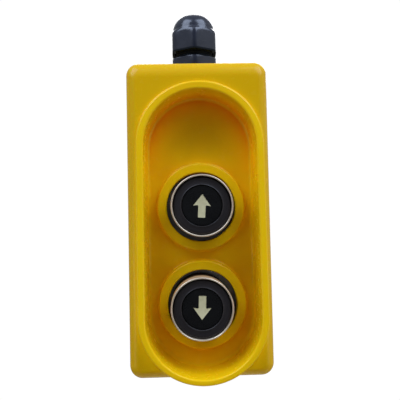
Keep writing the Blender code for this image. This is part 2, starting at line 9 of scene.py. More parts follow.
import bmesh
import bpy
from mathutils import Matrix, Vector


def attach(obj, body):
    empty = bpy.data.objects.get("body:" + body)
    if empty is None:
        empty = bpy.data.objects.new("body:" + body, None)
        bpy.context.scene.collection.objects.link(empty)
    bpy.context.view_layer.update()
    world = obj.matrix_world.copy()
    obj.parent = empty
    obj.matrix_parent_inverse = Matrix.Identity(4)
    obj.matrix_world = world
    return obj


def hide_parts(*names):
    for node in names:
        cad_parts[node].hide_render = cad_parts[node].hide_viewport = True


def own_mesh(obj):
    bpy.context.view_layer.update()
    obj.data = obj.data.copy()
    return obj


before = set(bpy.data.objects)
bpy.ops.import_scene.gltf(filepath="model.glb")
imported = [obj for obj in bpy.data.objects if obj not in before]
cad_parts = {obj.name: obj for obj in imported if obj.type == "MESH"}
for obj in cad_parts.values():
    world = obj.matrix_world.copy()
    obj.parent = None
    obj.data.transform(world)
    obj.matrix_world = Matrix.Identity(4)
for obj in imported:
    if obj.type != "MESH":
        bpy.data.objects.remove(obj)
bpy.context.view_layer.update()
MM = 0.001
RAD = math.radians

# ---- sizes shared with the CAD model ---------------------------------------------
FACE_Y, EDGE_Y, PART_Y, BACK_Y = -40.1, -34.1, 15.8, 23.4
HALF_W, TOP_Z, BOTTOM_Z = 34.3, -35.5, -186.85
TAPER_X, TAPER_Z, WALL = 0.03, 0.03, 3.0
EDGE_SIDE, EDGE_TOP, EDGE_BOTTOM = 5.0, 8.0, 4.5
CORNER_FRONT, CORNER_R = 6.0, 5.3
GUARD_X = 0.85
GUARD_HALF_W, GUARD_TOP, GUARD_BOTTOM = 30.37, -46.0, -187.95
RIM_Y_TOP, RIM_Y_BOTTOM = -41.65, -48.65
RECESS_HALF_W, RECESS_TOP, RECESS_BOTTOM = 26.9, -49.8, -185.1
FLOOR_HALF_W, FLOOR_TOP, FLOOR_BOTTOM, FLOOR_Y = 26.2, -50.6, -184.2, -25.9
BUTTON_X = 1.05
OPERATOR_X = {"up": 1.1, "down": 0.3}
BUTTON_Z = {"up": -105.9, "down": -153.65}
COLLAR_Y, COLLAR_R, COLLAR_BORE = -30.6, 21.5, 16.85
BEZEL_R, BEZEL_BORE = 14.6, 13.8
BEZEL_FRONT = COLLAR_Y - 16.2
CAP_R, DISC_R = 13.5, 9.35
ARROW_H, ARROW_W, ARROW_HEAD, ARROW_SHAFT = 11.0, 8.35, 5.45, 3.45
ARROW_TILT = {"up": 3.4, "down": 2.5}
ARROW_SHIFT = {"up": -0.15, "down": 0.45}
PLATE_FRONT, PLATE_T = -17.6, 2.0
PLATE_SCREWS = [(BUTTON_X + sx * 21.0, z) for sx in (-1, 1) for z in (-85.3, -171.3)]
COVER_SCREWS = [(sx * 26.3, z) for sx in (-1, 1) for z in (-43.6, -178.7)]
AF = 24.0
SEAT_Z, INNER_SEAT_Z = -30.7, -37.8
FLANGE_BOTTOM, FLANGE_TOP, CAP_BOTTOM = -29.1, -24.0, -20.4
THREAD_R, THREAD_END, CABLE_R = 9.9, -45.3, 4.0


# ---- mesh making -------------------------------------------------------------------

def to_object(bm, name, angle=35, smooth=True):
    bmesh.ops.recalc_face_normals(bm, faces=bm.faces[:])
    me = bpy.data.meshes.new(name)
    bm.to_mesh(me)
    bm.free()
    o = bpy.data.objects.new(name, me)
    bpy.context.scene.collection.objects.link(o)
    if smooth:
        me.shade_smooth()
        me.set_sharp_from_angle(angle=RAD(angle))
    return o


def loft(name, rings, closed=False, angle=35):
    bm = bmesh.new()
    vs = [[bm.verts.new(Vector(p) * MM) for p in ring] for ring in rings]
    n = len(vs[0])
    pairs = list(zip(vs, vs[1:]))
    if closed:
        pairs.append((vs[-1], vs[0]))
    for a, b in pairs:
        for i in range(n):
            bm.faces.new((a[i], a[(i + 1) % n], b[(i + 1) % n], b[i]))
    if not closed:
        bm.faces.new(vs[0])
        bm.faces.new(list(reversed(vs[-1])))
    return to_object(bm, name, angle)


def turned(name, profile, axis="Y", centre=(0.0, 0.0), segs=128, angle=35):
    """A closed (radius, height) outline turned about its axis; radius 0 is on the axis."""
    bm = bmesh.new()
    rings = []
    for r, h in profile:
        if r < 1e-9:
            c = (centre[0], h, centre[1]) if axis == "Y" else (centre[0], centre[1], h)
            rings.append([bm.verts.new(Vector(c) * MM)])
            continue
        ring = []
        for i in range(segs):
            t = 2 * math.pi * i / segs
            if axis == "Y":
                p = (centre[0] + r * math.cos(t), h, centre[1] + r * math.sin(t))
            else:
                p = (centre[0] + r * math.cos(t), centre[1] + r * math.sin(t), h)
            ring.append(bm.verts.new(Vector(p) * MM))
        rings.append(ring)
    m = len(rings)
    for k in range(m):
        a, b = rings[k], rings[(k + 1) % m]
        if len(a) == 1 and len(b) == 1:
            continue
        for i in range(segs):
            j = (i + 1) % segs
            if len(a) == 1:
                bm.faces.new((a[0], b[j], b[i]))
            elif len(b) == 1:
                bm.faces.new((a[i], a[j], b[0]))
            else:
                bm.faces.new((a[i], a[j], b[j], b[i]))
    return to_object(bm, name, angle)


def soft_hexagon(theta, power=14.0):
    """Radius of a hexagon with slightly rounded corners, one of them towards -Y."""
    total = 0.0
    for k in range(6):
        c = math.cos(theta - RAD(60 * k))
        if c > 0:
            total += c ** power
    return AF / 2 * total ** (-1.0 / power)


def soft_min(a, b, k=1.4):
    h = max(k - abs(a - b), 0.0) / k
    return min(a, b) - h * h * k * 0.25


def polar(name, outline, segs=144, angle=35):
    """Closed outline about Z; ('hex', limit) marks a hexagonal ring held inside a radius."""
    rings = []
    for r, h in outline:
        ring = []
        for i in range(segs):
            t = 2 * math.pi * i / segs
            rad = soft_min(soft_hexagon(t), r[1]) if isinstance(r, tuple) else r
            ring.append((rad * math.cos(t), rad * math.sin(t), h))
        rings.append(ring)
    return loft(name, rings, closed=True, angle=angle)


def rounded_rect(w, zt, zb, r, y, n=12):
    pts = []
    for cx, cz, a0 in ((w - r, zt - r, 0), (-w + r, zt - r, 90), (-w + r, zb + r, 180), (w - r, zb + r, 270)):
        for k in range(n + 1):
            a = RAD(a0 + 90 * k / n)
            pts.append((cx + r * math.cos(a), y, cz + r * math.sin(a)))
    return pts


def stadium(w, zt, zb, y, n=72, grow=None):
    pts = []
    for cz, a0 in ((zt - w, 0), (zb + w, 180)):
        for k in range(n + 1):
            a = RAD(a0 + 180 * k / n)
            x, z = GUARD_X + w * math.cos(a), cz + w * math.sin(a)
            if grow:
                g = grow(z)
                x, z = x + g * math.cos(a), z + g * math.sin(a)
            pts.append((x, y(z) if callable(y) else y, z))
    return pts


def cut(target, cutter, op="DIFFERENCE"):
    m = target.modifiers.new(op.lower() + "_" + cutter.name, 'BOOLEAN')
    m.operation, m.solver, m.object = op, 'EXACT', cutter
    cutter.hide_render = True
    return cutter


def bake(o, cutters, angle=35, weighted=True):
    """Applies the modifiers, removes the cutters and shades the result."""
    dg = bpy.context.evaluated_depsgraph_get()
    me = bpy.data.meshes.new_from_object(o.evaluated_get(dg))
    o.modifiers.clear()
    o.data = me
    for c in cutters:
        bpy.data.objects.remove(c, do_unlink=True)
    bm = bmesh.new()
    bm.from_mesh(me)
    bmesh.ops.remove_doubles(bm, verts=bm.verts[:], dist=2e-6)
    bmesh.ops.dissolve_degenerate(bm, edges=bm.edges[:], dist=1e-6)
    bm.to_mesh(me)
    bm.free()
    me.shade_smooth()
    me.set_sharp_from_angle(angle=RAD(angle))
    if weighted:
        w = o.modifiers.new("weighted", 'WEIGHTED_NORMAL')
        w.keep_sharp = True
        w.weight = 80
    return o


def half_width(y):
    return HALF_W + (y - EDGE_Y) * TAPER_X


def top_z(y):
    return TOP_Z + (y - EDGE_Y) * TAPER_Z


def bottom_z(y):
    return BOTTOM_Z - (y - EDGE_Y) * TAPER_Z


def rim_y(z):
    return RIM_Y_TOP + (RIM_Y_BOTTOM - RIM_Y_TOP) * (GUARD_TOP - z) / (GUARD_TOP - GUARD_BOTTOM)


def corner_at(y):
    return CORNER_FRONT + (CORNER_R - CORNER_FRONT) * (y - EDGE_Y) / (PART_Y - EDGE_Y)


def smooth_step(a, b, x):
    t = min(max((x - a) / (b - a), 0.0), 1.0)
    return t * t * (3 - 2 * t)


# ---- materials ---------------------------------------------------------------------

class Nodes:
    """A small helper that adds and joins shader nodes."""

    def __init__(self, name):
        self.mat = bpy.data.materials.new(name)
        self.mat.use_nodes = True
        self.t = self.mat.node_tree
        self.bsdf = self.t.nodes["Principled BSDF"]
        self.co = self.t.nodes.new("ShaderNodeTexCoord").outputs["Object"]

    def add(self, kind, **values):
        n = self.t.nodes.new(kind)
        for k, v in values.items():
            setattr(n, k, v)
        return n

    def link(self, a, b):
        self.t.links.new(a, b)

    def noise(self, scale, detail=3.0, rough=0.5, stretch=None):
        src = self.co
        if stretch:
            m = self.add("ShaderNodeMapping")
            m.inputs["Scale"].default_value = stretch
            self.link(src, m.inputs["Vector"])
            src = m.outputs["Vector"]
        n = self.add("ShaderNodeTexNoise")
        n.inputs["Scale"].default_value = scale
        n.inputs["Detail"].default_value = detail
        n.inputs["Roughness"].default_value = rough
        self.link(src, n.inputs["Vector"])
        return n.outputs["Fac"]

    def ramp(self, fac, stops):
        r = self.add("ShaderNodeValToRGB")
        while len(r.color_ramp.elements) < len(stops):
            r.color_ramp.elements.new(0.5)
        for e, (p, c) in zip(r.color_ramp.elements, stops):
            e.position = p
            e.color = (*c, 1) if len(c) == 3 else c
        self.link(fac, r.inputs["Fac"])
        return r.outputs["Color"]

    def map(self, fac, a, b, lo, hi):
        m = self.add("ShaderNodeMapRange")
        m.clamp = True
        for k, v in zip(("From Min", "From Max", "To Min", "To Max"), (a, b, lo, hi)):
            m.inputs[k].default_value = v
        self.link(fac, m.inputs["Value"])
        return m.outputs["Result"]

    def mix(self, fac, a, b, mode='MIX'):
        m = self.add("ShaderNodeMix", data_type='RGBA', blend_type=mode)
        for socket, v in ((m.inputs["Factor"], fac), (m.inputs["A"], a), (m.inputs["B"], b)):
            if isinstance(v, (int, float)):
                socket.default_value = v
            elif isinstance(v, tuple):
                socket.default_value = (*v, 1)
            else:
                self.link(v, socket)
        return m.outputs["Result"]

    def math(self, op, a, b=None):
        m = self.add("ShaderNodeMath", operation=op)
        for i, v in enumerate((a, b)):
            if v is None:
                continue
            if isinstance(v, (int, float)):
                m.inputs[i].default_value = v
            else:
                self.link(v, m.inputs[i])
        return m.outputs["Value"]

    def bump(self, height, strength, distance, normal=None):
        b = self.add("ShaderNodeBump")
        b.inputs["Strength"].default_value = strength
        b.inputs["Distance"].default_value = distance
        self.link(height, b.inputs["Height"])
        if normal is not None:
            self.link(normal, b.inputs["Normal"])
        return b.outputs["Normal"]

    def edges(self, lo, hi):
        g = self.add("ShaderNodeNewGeometry")
        return self.map(g.outputs["Pointiness"], lo, hi, 0.0, 1.0)

    def set(self, **values):
        for k, v in values.items():
            self.bsdf.inputs[k.replace("_", " ")].default_value = v


def moulded(name, low, high, rough=(0.33, 0.45), grain=2600.0, grain_depth=0.00001, mottled=30.0, spec=0.5,
            edge=None, scratches=0.0, specks=None, coat=0.0, wave=0.00004, glow=0.0, painted_bounce=None, deep_shade=None, forward_light=None, groove_shade=None):
    """Injection-moulded plastic: colour drift, fine grain, rubbed edges, faint scratches and specks; optionally painted
    shade and painted light in a recess, on a forward rim and in a groove.
    """
    n = Nodes(name)
    broad = n.noise(mottled, 4.0, 0.55)
    colour = n.ramp(broad, [(0.3, low), (0.7, high)])
    if deep_shade:                               # painted bounce light: a brighter, more saturated yellow where the ambient-occlusion mask finds the recess; painted shade: deep orange in its occluded corners
        ao = n.add("ShaderNodeAmbientOcclusion", samples=8)
        ao.inputs["Distance"].default_value = 0.022
        # painted bounce light in the occluded recess
        colour = n.mix(n.map(ao.outputs["AO"], 0.70, 0.93, 1.0, 0.0), colour, painted_bounce)
        split = n.add("ShaderNodeSeparateXYZ")
        n.link(n.co, split.inputs["Vector"])
        high = n.map(split.outputs["Z"], -0.094, -0.070, 0.08, 1.0)      # the painted shade is strongest under the top of the guard
        high = n.math('MULTIPLY', high, n.map(split.outputs["Y"], -0.020, -0.014, 1.0, 0.0))     # and only at the front
        # painted shade: deep orange where the recess is most occluded
        colour = n.mix(n.math('MULTIPLY', n.map(ao.outputs["AO"], 0.24, 0.72, 1.0, 0.0), high), colour, deep_shade)
    if forward_light:                                # painted light: a lighter colour where it stands furthest forward, on the guard's lower lip and wall
        out = n.map(split.outputs["Y"], -0.0424, -0.0410, 1.0, 0.0)
        colour = n.mix(out, colour, forward_light)
    if edge:
        colour = n.mix(n.map(n.edges(0.515, 0.56), 0, 1, 0, 0.45), colour, edge)
    rough_v = n.map(n.noise(220.0, 6.0, 0.65), 0.3, 0.7, rough[0], rough[1])
    if scratches:
        s = n.noise(90.0, 2.0, 0.5, (1.0, 1.0, 26.0))
        t = n.noise(70.0, 2.0, 0.5, (22.0, 1.0, 1.0))
        marks = n.math('MAXIMUM', n.map(s, 0.70, 0.74, 0, 1), n.map(t, 0.71, 0.75, 0, 1))
        rough_v = n.math('ADD', rough_v, n.math('MULTIPLY', marks, scratches))
    if specks:
        v = n.add("ShaderNodeTexVoronoi")
        v.inputs["Scale"].default_value = 120.0
        n.link(n.co, v.inputs["Vector"])
        pick = n.add("ShaderNodeTexWhiteNoise")
        n.link(v.outputs["Position"], pick.inputs["Vector"])
        near = n.map(v.outputs["Distance"], 0.0, 0.055, 1.0, 0.0)
        few = n.map(pick.outputs["Value"], 0.955, 0.965, 0.0, 1.0)
        colour = n.mix(n.math('MULTIPLY', near, few), colour, specks)
    n.link(colour, n.bsdf.inputs["Base Color"])
    n.link(rough_v, n.bsdf.inputs["Roughness"])
    soft = n.bump(n.noise(26.0, 2.0, 0.4), 0.5, wave)
    n.link(n.bump(n.noise(grain, 2.0, 0.6), 0.35, grain_depth, soft), n.bsdf.inputs["Normal"])
    n.set(Specular_IOR_Level=spec, IOR=1.5)
    if groove_shade:                                # painted shade: near-black, without sheen, in the groove between two heights
        split = n.add("ShaderNodeSeparateXYZ")
        n.link(n.co, split.inputs["Vector"])
        z = split.outputs["Z"]
        groove_shade_mask = n.math('MULTIPLY', n.map(z, groove_shade[0] - 0.0002, groove_shade[0], 0.0, 1.0), n.map(z, groove_shade[1], groove_shade[1] + 0.0003, 1.0, 0.0))
        n.link(n.mix(groove_shade_mask, colour, (0.010, 0.013, 0.017)), n.bsdf.inputs["Base Color"])
        n.link(n.map(groove_shade_mask, 0.0, 1.0, spec, 0.02), n.bsdf.inputs["Specular IOR Level"])
    if coat:
        n.set(Coat_Weight=coat, Coat_Roughness=0.12)
    if glow:                               # light spreads a little way inside the plastic
        n.set(Subsurface_Weight=glow, Subsurface_Radius=(1.0, 0.25, 0.05), Subsurface_Scale=0.004)
    return n.mat


def metal(name, low, high, rough=(0.16, 0.3), turned_marks=False, marks=900.0, bore_shade=None, metallic=1.0):
    n = Nodes(name)
    colour = n.ramp(n.noise(60.0, 4.0, 0.6), [(0.3, low), (0.7, high)])
    if bore_shade:                            # painted shade: dark deeper in the bore behind the lip and on the sleeve's downward-facing side
        split = n.add("ShaderNodeSeparateXYZ")
        n.link(n.co, split.inputs["Vector"])
        deep_shade = n.map(split.outputs["Y"], bore_shade[0], bore_shade[1], 0.0, 1.0)
        turn = n.add("ShaderNodeSeparateXYZ")
        n.link(n.add("ShaderNodeNewGeometry").outputs["Normal"], turn.inputs["Vector"])
        underside_shade = n.math('MULTIPLY', n.map(turn.outputs["Z"], -0.1, 0.35, 1.0, 0.0), n.map(split.outputs["Y"], -0.0464, -0.0458, 0.0, 1.0))
        colour = n.mix(n.math('MAXIMUM', deep_shade, underside_shade), colour, bore_shade[2])
    n.link(colour, n.bsdf.inputs["Base Color"])
    n.link(n.map(n.noise(300.0, 5.0, 0.6), 0.3, 0.7, rough[0], rough[1]), n.bsdf.inputs["Roughness"])
    if turned_marks:
        w = n.noise(marks, 2.0, 0.5, (0.02, 1.0, 0.02))
    else:
        w = n.noise(marks, 3.0, 0.6, (1.0, 1.0, 0.05))
    n.link(n.bump(w, 0.25, 0.000012), n.bsdf.inputs["Normal"])
    n.set(Metallic=metallic)
    return n.mat


# its recess carries painted bounce light and painted shade, its forward rim painted light
YELLOW = moulded("yellow_abs", (0.715, 0.410, 0.0020), (0.745, 0.432, 0.0028), rough=(0.23, 0.29), mottled=22.0,
                 edge=(0.90, 0.52, 0.008), scratches=0.08, specks=(0.10, 0.05, 0.01), grain=2200.0, grain_depth=0.000004, spec=0.17, glow=0.12,
                 painted_bounce=(1.0, 0.625, 0.0030), deep_shade=(1.0, 0.07, 0.0004), forward_light=(0.90, 0.555, 0.0036))
BLACK = moulded("black_gloss", (0.019, 0.0165, 0.0165), (0.024, 0.0205, 0.0205), rough=(0.33, 0.42), grain=3000.0,
                grain_depth=0.000003, wave=0.00001, scratches=0.12, spec=0.25)
DISC = moulded("black_disc", (0.0045, 0.0045, 0.0045), (0.0065, 0.0065, 0.0065), rough=(0.24, 0.33), grain=3000.0,
               grain_depth=0.000003, wave=0.000008, scratches=0.14, spec=0.4, specks=(0.08, 0.08, 0.075))
HIDDEN_BLACK = moulded("black_body", (0.012, 0.012, 0.013), (0.02, 0.02, 0.021), rough=(0.4, 0.55))
CREAM = moulded("cream_inlay", (0.55, 0.505, 0.29), (0.63, 0.585, 0.345), rough=(0.5, 0.62), mottled=500.0, grain=4000.0,
                grain_depth=0.000006, wave=0.000004, spec=0.35)
# the groove between cap nut and body carries painted shade
NAVY = moulded("gland_nylon", (0.0125, 0.0160, 0.0280), (0.0185, 0.0225, 0.0370), rough=(0.18, 0.24), mottled=120.0, grain=2400.0,
               grain_depth=0.000006, wave=0.00002, spec=0.48, scratches=0.08, groove_shade=(-0.0238, -0.0196))
RUBBER = moulded("seal_rubber", (0.014, 0.014, 0.014), (0.024, 0.023, 0.022), rough=(0.7, 0.85), grain=1500.0, grain_depth=0.00003)
GREY = moulded("contact_grey", (0.13, 0.14, 0.15), (0.18, 0.19, 0.20), rough=(0.45, 0.6))
WHITE = moulded("white_acetal", (0.68, 0.68, 0.64), (0.76, 0.76, 0.73), rough=(0.38, 0.5))
# the sleeve carries painted shade in the bore and on its underside
BEZEL = metal("bezel_nickel", (0.63, 0.52, 0.38), (0.74, 0.62, 0.46), rough=(0.34, 0.44), turned_marks=True,
              bore_shade=(-0.0378, -0.0328, (0.05, 0.024, 0.017)), metallic=0.7)
ZINC = metal("zinc_plate", (0.50, 0.52, 0.54), (0.66, 0.66, 0.64), rough=(0.26, 0.4))
SPRINGY = metal("spring_wire", (0.48, 0.48, 0.48), (0.58, 0.58, 0.58), rough=(0.2, 0.32))
BRASSY = metal("brass", (0.66, 0.46, 0.16), (0.78, 0.58, 0.25), rough=(0.22, 0.36))


def place(o, node, body, material):
    o.data.materials.clear()
    o.data.materials.append(material)
    for p in o.data.polygons:
        p.material_index = 0
    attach(o, body)
    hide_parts(node)
    return o


# ---- enclosure ---------------------------------------------------------------------

def make_housing():
    rings = []
    steps = 14
    for k in range(steps + 1):
        t = math.pi / 2 * k / steps
        inset = 1 - math.sin(t)
        rings.append(rounded_rect(HALF_W - EDGE_SIDE * inset, TOP_Z - EDGE_TOP * inset, BOTTOM_Z + EDGE_BOTTOM * inset,
                                  2.0 + (CORNER_FRONT - 2.0) * math.sin(t), EDGE_Y + (FACE_Y - EDGE_Y) * math.cos(t)))
    for y in (EDGE_Y + 1.0, EDGE_Y + 4.0, -20.0, -8.0, 4.0, PART_Y - 1.2, PART_Y - 0.45):
        rings.append(rounded_rect(half_width(y), top_z(y), bottom_z(y), corner_at(y), y))
    for inset, d in ((0.06, 0.2), (0.2, 0.06), (0.45, 0.0)):
        y = PART_Y - d
        rings.append(rounded_rect(half_width(PART_Y) - inset, top_z(PART_Y) - inset, bottom_z(PART_Y) + inset, CORNER_R - inset, y))
    body = loft("housing_shell", rings)
    used = []

    def outer(inset, depth):
        return stadium(GUARD_HALF_W - inset, GUARD_TOP - inset, GUARD_BOTTOM + inset, lambda z: rim_y(z) + depth)

    def flared(amount, y):
        return stadium(GUARD_HALF_W, GUARD_TOP, GUARD_BOTTOM, y, grow=lambda z: amount * smooth_step(-176.0, -160.0, z))
    lip = [(0.85, 0.0), (0.52, 0.05), (0.26, 0.18), (0.09, 0.4), (0.02, 0.62), (0.0, 0.8)]
    form = [outer(i, d) for i, d in lip]
    form += [flared(0.0, FACE_Y - 0.62), flared(0.09, FACE_Y - 0.3), flared(0.3, FACE_Y - 0.1), flared(0.62, FACE_Y - 0.01),
             flared(0.66, FACE_Y + 0.6), flared(0.66, -30.0), stadium(GUARD_HALF_W - 1.2, GUARD_TOP - 1.2, GUARD_BOTTOM + 1.2, -14.0)]
    used.append(cut(body, loft("guard_form", form), "UNION"))

    def inner(grow, depth):
        return stadium(RECESS_HALF_W + grow, RECESS_TOP + grow, RECESS_BOTTOM - grow, lambda z: rim_y(z) + depth)

    def floor(inset, y):
        return stadium(FLOOR_HALF_W - inset, FLOOR_TOP - inset, FLOOR_BOTTOM + inset, y)
    form = [inner(1.05, -6.0), inner(1.05, 0.0), inner(0.7, 0.05), inner(0.38, 0.2), inner(0.15, 0.46), inner(0.03, 0.8), inner(0.0, 1.2)]
    fillet = 1.8
    for k in range(8):
        a = math.pi / 2 * k / 7
        form.append(floor(-0.06 + fillet * (1 - math.cos(a)), FLOOR_Y - fillet + fillet * math.sin(a)))
    used.append(cut(body, loft("recess_form", form)))

    for key, z in BUTTON_Z.items():
        r, y0, y1 = COLLAR_R, COLLAR_Y, FLOOR_Y
        prof = [(0, y0), (r - 0.95, y0), (r - 0.6, y0 + 0.05), (r - 0.3, y0 + 0.18), (r - 0.1, y0 + 0.42), (r, y0 + 0.8),
                (r + 0.1, y1 - 1.1), (r + 0.18, y1 - 0.7), (r + 0.38, y1 - 0.35), (r + 0.7, y1 - 0.12), (r + 1.05, y1 - 0.01), (r + 1.05, y1 + 1.2), (0, y1 + 1.2)]
        used.append(cut(body, turned(key + "_collar_form", prof, centre=(BUTTON_X, z), segs=144), "UNION"))

    hollow_rings = [rounded_rect(HALF_W - WALL - 1.5, TOP_Z - WALL - 3.0, BOTTOM_Z + WALL + 1.0, 3.0, FACE_Y + WALL, 6),
                    rounded_rect(HALF_W - WALL, TOP_Z - WALL, BOTTOM_Z + WALL, 3.5, EDGE_Y, 6)]
    end = PART_Y + 4
    hollow_rings.append(rounded_rect(half_width(end) - WALL, top_z(end) - WALL, bottom_z(end) + WALL, 3.5, end, 6))
    hollow = loft("hollow_form", hollow_rings)
    keep = loft("guard_block_form", [stadium(33.6, GUARD_TOP + 3.2, GUARD_BOTTOM - 3.2, y, 32) for y in (-60.0, FLOOR_Y + WALL)])
    cut(hollow, keep)
    bake(hollow, [keep], weighted=False)
    used.append(cut(body, hollow))
    for i, (x, z) in enumerate(COVER_SCREWS):
        used.append(cut(body, turned("column_form_%d" % i, [(0, -38.0), (4.2, -38.0), (4.2, PART_Y), (0, PART_Y)], centre=(x, z), segs=32), "UNION"))
        x0, x1 = sorted((x, math.copysign(HALF_W - 1.5, x)))
        used.append(cut(body, loft("rib_form_%d" % i, [[(x0, y, z - 0.9), (x1, y, z - 0.9), (x1, y, z + 0.9), (x0, y, z + 0.9)] for y in (-35.0, 12.0)]), "UNION"))
    for i, (x, z) in enumerate(PLATE_SCREWS):
        used.append(cut(body, turned("pillar_form_%d" % i, [(0, FLOOR_Y + 1.5), (3.3, FLOOR_Y + 1.5), (3.3, PLATE_FRONT - 0.3), (0, PLATE_FRONT - 0.3)],
                                     centre=(x, z), segs=24), "UNION"))
    seat = [(0, INNER_SEAT_Z), (13.3, INNER_SEAT_Z), (13.3, SEAT_Z - 0.5), (13.22, SEAT_Z - 0.2), (13.0, SEAT_Z), (0, SEAT_Z)]
    used.append(cut(body, turned("seat_form", seat, axis="Z", segs=96), "UNION"))
    for key, z in BUTTON_Z.items():
        b, y0 = COLLAR_BORE, COLLAR_Y
        prof = [(0, y0 - 6), (b + 0.62, y0 - 6), (b + 0.62, y0), (b + 0.34, y0 + 0.06), (b + 0.13, y0 + 0.22), (b + 0.02, y0 + 0.48), (b, y0 + 0.7),
                (b, FLOOR_Y + 6), (0, FLOOR_Y + 6)]
        used.append(cut(body, turned(key + "_bore_form", prof, centre=(BUTTON_X, z), segs=144)))
    for i, (x, z) in enumerate(COVER_SCREWS):
        used.append(cut(body, turned("column_hole_%d" % i, [(0, 0.0), (1.8, 0.0), (1.8, PART_Y + 2), (0, PART_Y + 2)], centre=(x, z), segs=24)))
    for i, (x, z) in enumerate(PLATE_SCREWS):
        used.append(cut(body, turned("pillar_hole_%d" % i, [(0, FLOOR_Y + 1.6), (1.6, FLOOR_Y + 1.6), (1.6, PLATE_FRONT + 2), (0, PLATE_FRONT + 2)],
                                     centre=(x, z), segs=24)))
    used.append(cut(body, turned("gland_hole", [(0, -60.0), (THREAD_R + 0.35, -60.0), (THREAD_R + 0.35, -20.0), (0, -20.0)], axis="Z", segs=64)))
    bake(body, used, angle=34)
    place(body, "front_housing", "enclosure", YELLOW)


def make_cover():
    y0 = PART_Y + 1.6
    w, zt, zb = half_width(PART_Y), top_z(PART_Y), bottom_z(PART_Y)
    rings = []
    for inset, d in ((0.45, 0.0), (0.2, 0.06), (0.06, 0.2), (0.0, 0.45)):
        rings.append(rounded_rect(w - inset, zt - inset, zb + inset, CORNER_R - inset, y0 + d))
    for k in range(12):
        t = math.pi / 2 * k / 11
        s = 1 - math.cos(t)
        rings.append(rounded_rect(w - 0.15 * smooth_step(0, 0.3, t) - 3.35 * s, zt - 0.15 - 3.35 * s, zb + 0.15 + 3.35 * s, CORNER_R - 2.4 * s,
                                  BACK_Y - 3.6 + 3.6 * math.sin(t)))
    inner = BACK_Y - 2.8
    cover = loft("cover_shell", rings)
    used = [cut(cover, loft("cover_pocket", [rounded_rect(w - WALL, zt - WALL, zb + WALL, 3.5, y, 6) for y in (y0 - 3, inner)]))]
    lip_w = WALL + 0.4
    lip = loft("cover_lip", [rounded_rect(w - lip_w, zt - lip_w, zb + lip_w, 3.2, y, 6) for y in (14.0, inner + 1.0)])
    lip_in = loft("cover_lip_inside", [rounded_rect(w - lip_w - 1.6, zt - lip_w - 1.6, zb + lip_w + 1.6, 2.0, y, 6) for y in (10.0, inner)])
    cut(lip, lip_in)
    bake(lip, [lip_in], weighted=False)
    used.append(cut(cover, lip, "UNION"))
    for i, (x, z) in enumerate(COVER_SCREWS):
        used.append(cut(cover, turned("cover_post_%d" % i, [(0, PART_Y + 0.3), (4.2, PART_Y + 0.3), (4.2, inner + 1), (0, inner + 1)],
                                      centre=(x, z), segs=32), "UNION"))
    for i, (x, z) in enumerate(COVER_SCREWS):
        prof = [(0, 5.0), (2.1, 5.0), (2.1, BACK_Y - 2.7), (3.9, BACK_Y - 2.7), (3.9, BACK_Y - 0.35), (4.0, BACK_Y - 0.12), (4.25, BACK_Y), (4.25, BACK_Y + 3), (0, BACK_Y + 3)]
        used.append(cut(cover, turned("cover_hole_%d" % i, prof, centre=(x, z), segs=48)))
    bake(cover, used, angle=34)
    place(cover, "back_cover", "enclosure", YELLOW)

    g = []
    for inset, y in ((0.8, PART_Y + 0.32), (0.6, PART_Y + 0.55), (0.55, PART_Y + 0.8), (0.6, PART_Y + 1.05), (0.8, PART_Y + 1.28),
                     (2.5, PART_Y + 1.28), (2.6, PART_Y + 0.8), (2.5, PART_Y + 0.32)):
        g.append(rounded_rect(w - inset, zt - inset, zb + inset, CORNER_R - inset, y))
    place(loft("gasket_ring", g, closed=True), "cover_gasket", "enclosure", RUBBER)


def make_screw(name, x, z, head_y, shaft_end, shaft_r, head_r, head_h, pitch):
    """A pan-headed screw along Y, its head to the back, with thread ridges and a cross recess."""
    prof = [(0, shaft_end), (shaft_r * 0.35, shaft_end + 0.3)]
    y = shaft_end + 1.0
    while y + pitch < head_y - 1.0:
        prof += [(shaft_r * 0.78, y), (shaft_r, y + pitch * 0.5)]
        y += pitch
    prof += [(shaft_r * 0.85, y), (shaft_r * 0.85, head_y), (head_r - 0.2, head_y), (head_r, head_y + 0.2)]
    for k in range(1, 9):
        a = math.pi / 2 * k / 8
        prof.append((head_r * (0.42 + 0.58 * math.cos(a * 0.92)) if k < 8 else 0.0, head_y + 0.25 + (head_h - 0.25) * math.sin(a)))
    s = turned(name, prof, centre=(x, z), segs=48)
    a, b = 0.13 * head_r, head_r * 0.55
    used = []
    for k in range(2):
        rings = []
        for f, d in ((1.25, 0.3), (1.0, -0.15), (0.45, -head_h * 0.75)):
            hx, hz = (b * f, a * (0.75 + 0.25 * f)) if k == 0 else (a * (0.75 + 0.25 * f), b * f)
            rings.append([(x + px * hx, head_y + head_h + d, z + pz * hz) for px, pz in ((1, 1), (-1, 1), (-1, -1), (1, -1))])
        used.append(cut(s, loft("cross_%d" % k, rings)))
    return bake(s, used, angle=30, weighted=False)


# ---- buttons -----------------------------------------------------------------------

